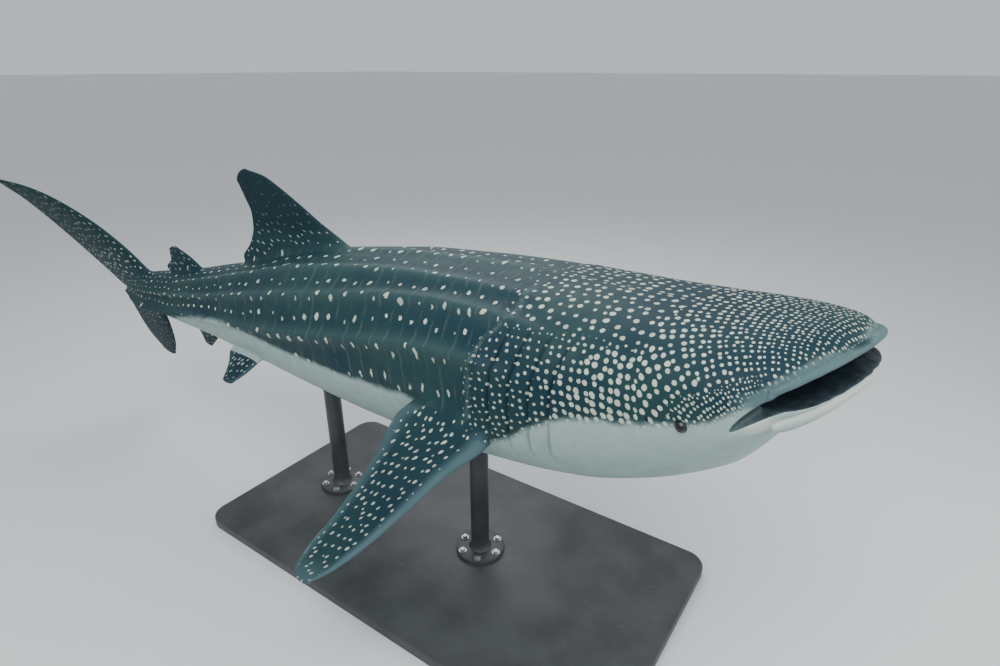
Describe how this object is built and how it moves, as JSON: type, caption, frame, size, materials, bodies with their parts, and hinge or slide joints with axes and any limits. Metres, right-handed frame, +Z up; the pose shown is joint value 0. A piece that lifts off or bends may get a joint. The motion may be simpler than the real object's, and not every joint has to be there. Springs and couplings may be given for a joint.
{
  "type": "whale shark museum model on a stand",
  "caption": "Life-size still model of a swimming whale shark with its mouth open, carried by rods on a flat display base.",
  "frame": {"origin": "centre of the underside of the stand's base, on the floor", "axes": "+X from the tail towards the snout, +Y towards the shark's left side, +Z up"},
  "size_m": [6.3084, 2.3403, 2.2378],
  "materials": {
    "spotted_skin": "satin, dark slate green with pale spots and a pale belly",
    "pale_skin": "satin, pale underside",
    "fin_skin": "satin, dark slate green with small pale spots",
    "eye": "gloss",
    "stand_paint": "satin"
  },
  "bodies": {
    "root": {"head": "spotted_skin", "gill_region": "spotted_skin", "trunk_front": "spotted_skin", "trunk_rear": "spotted_skin", "tail_base": "spotted_skin", "tail_stalk": "spotted_skin", "lower_jaw": "pale_skin", "dorsal_fin_first": "fin_skin", "dorsal_fin_second": "fin_skin", "anal_fin": "fin_skin", "caudal_lobe_upper": "fin_skin", "caudal_lobe_lower": "fin_skin", "pectoral_fin_left": "fin_skin", "pectoral_fin_right": "fin_skin", "pelvic_fin_left": "fin_skin", "pelvic_fin_right": "fin_skin", "eye_left": "eye", "eye_right": "eye", "stand_base": "stand_paint", "stand_rod_front": "stand_paint", "stand_rod_rear": "stand_paint"}
  },
  "joints": []
}
